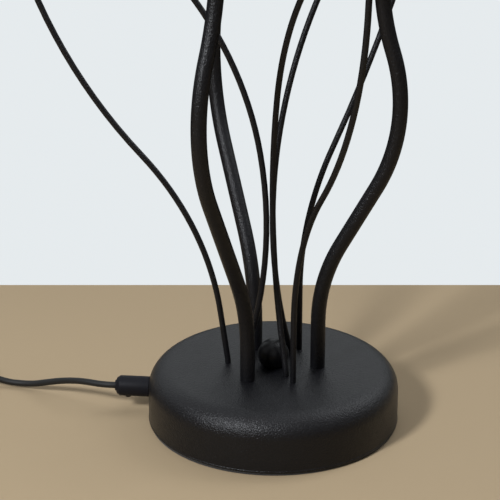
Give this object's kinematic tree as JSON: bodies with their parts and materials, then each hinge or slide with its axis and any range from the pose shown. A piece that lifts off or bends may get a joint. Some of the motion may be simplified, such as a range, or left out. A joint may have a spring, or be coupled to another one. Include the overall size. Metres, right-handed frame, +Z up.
{
  "type": "table lamp",
  "caption": "Black table lamp: wavy arm tubes with bulbs and thin wavy rods stand on a round weighted base; mains cord with rocker switch and plug.",
  "frame": {"origin": "centre of the base's underside, on the table", "axes": "+Z up; -X along the gland, where the mains cord leaves; +X towards the first arm's foot"},
  "size_m": [0.4179, 0.2792, 0.5518],
  "materials": {
    "black_coat": "fine-textured black powder coat",
    "gloss_black": "gloss black enamel",
    "iron": "raw cast iron",
    "pad": "dark felt-faced pad",
    "opal_glass": "opal white glass",
    "brass": "plain brass",
    "black_plastic": "satin black moulded plastic",
    "tie": "soft black plastic band",
    "cord_jacket": "black PVC",
    "wire_jacket": "pale silicone",
    "pale_plastic": "pale polyamide",
    "zinc": "bright zinc"
  },
  "bodies": {
    "lamp": {"base_cover": "black_coat", "base_weight": "iron", "base_pad": "pad", "centre_stud": "zinc", "spacer_tube": "zinc", "stud_nut": "zinc", "ball_nut": "gloss_black", "arm_tube_1": "black_coat", "arm_tube_2": "black_coat", "arm_tube_3": "black_coat", "arm_nipples": "zinc", "arm_washers": "zinc", "arm_nuts": "zinc", "outer_rod_1": "black_coat", "outer_rod_2": "black_coat", "outer_rod_3": "black_coat", "inner_rod_1": "black_coat", "inner_rod_2": "black_coat", "inner_rod_3": "black_coat", "rod_washers": "zinc", "rod_nuts": "zinc", "rod_tip_balls": "black_coat", "gland_body": "black_plastic", "gland_nut": "black_plastic", "gland_screw": "black_plastic", "mains_tail": "cord_jacket", "terminal_block": "pale_plastic", "terminal_sleeves": "brass", "terminal_screws": "zinc", "block_screw": "zinc", "arm_wire_1": "wire_jacket", "arm_wire_2": "wire_jacket", "arm_wire_3": "wire_jacket", "holder_cup_1": "black_coat", "holder_cup_2": "black_coat", "holder_cup_3": "black_coat", "holder_nipples": "zinc", "lampholder_1": "black_plastic", "lampholder_2": "black_plastic", "lampholder_3": "black_plastic", "holder_shells": "brass", "holder_contacts": "brass", "bulb_glass_1": "opal_glass", "bulb_glass_2": "opal_glass", "bulb_glass_3": "opal_glass", "bulb_caps": "zinc", "cord_run": "cord_jacket", "cord_lead": "cord_jacket", "cord_coil": "cord_jacket", "cord_tie": "tie", "cord_tail": "cord_jacket", "switch_base": "black_plastic", "switch_top": "black_plastic", "rocker_pin": "zinc", "switch_screws": "zinc", "switch_contacts": "brass", "plug_body": "black_plastic", "plug_pins": "zinc"},
    "rocker": {"switch_rocker": "black_plastic"}
  },
  "joints": [
    {"name": "rocker_tilt", "type": "hinge", "parent": "lamp", "child": "rocker", "pos_m": [-0.24, 0.028, 0.0112], "axis": [0, 1, 0], "range_deg": [0, 16]}
  ]
}
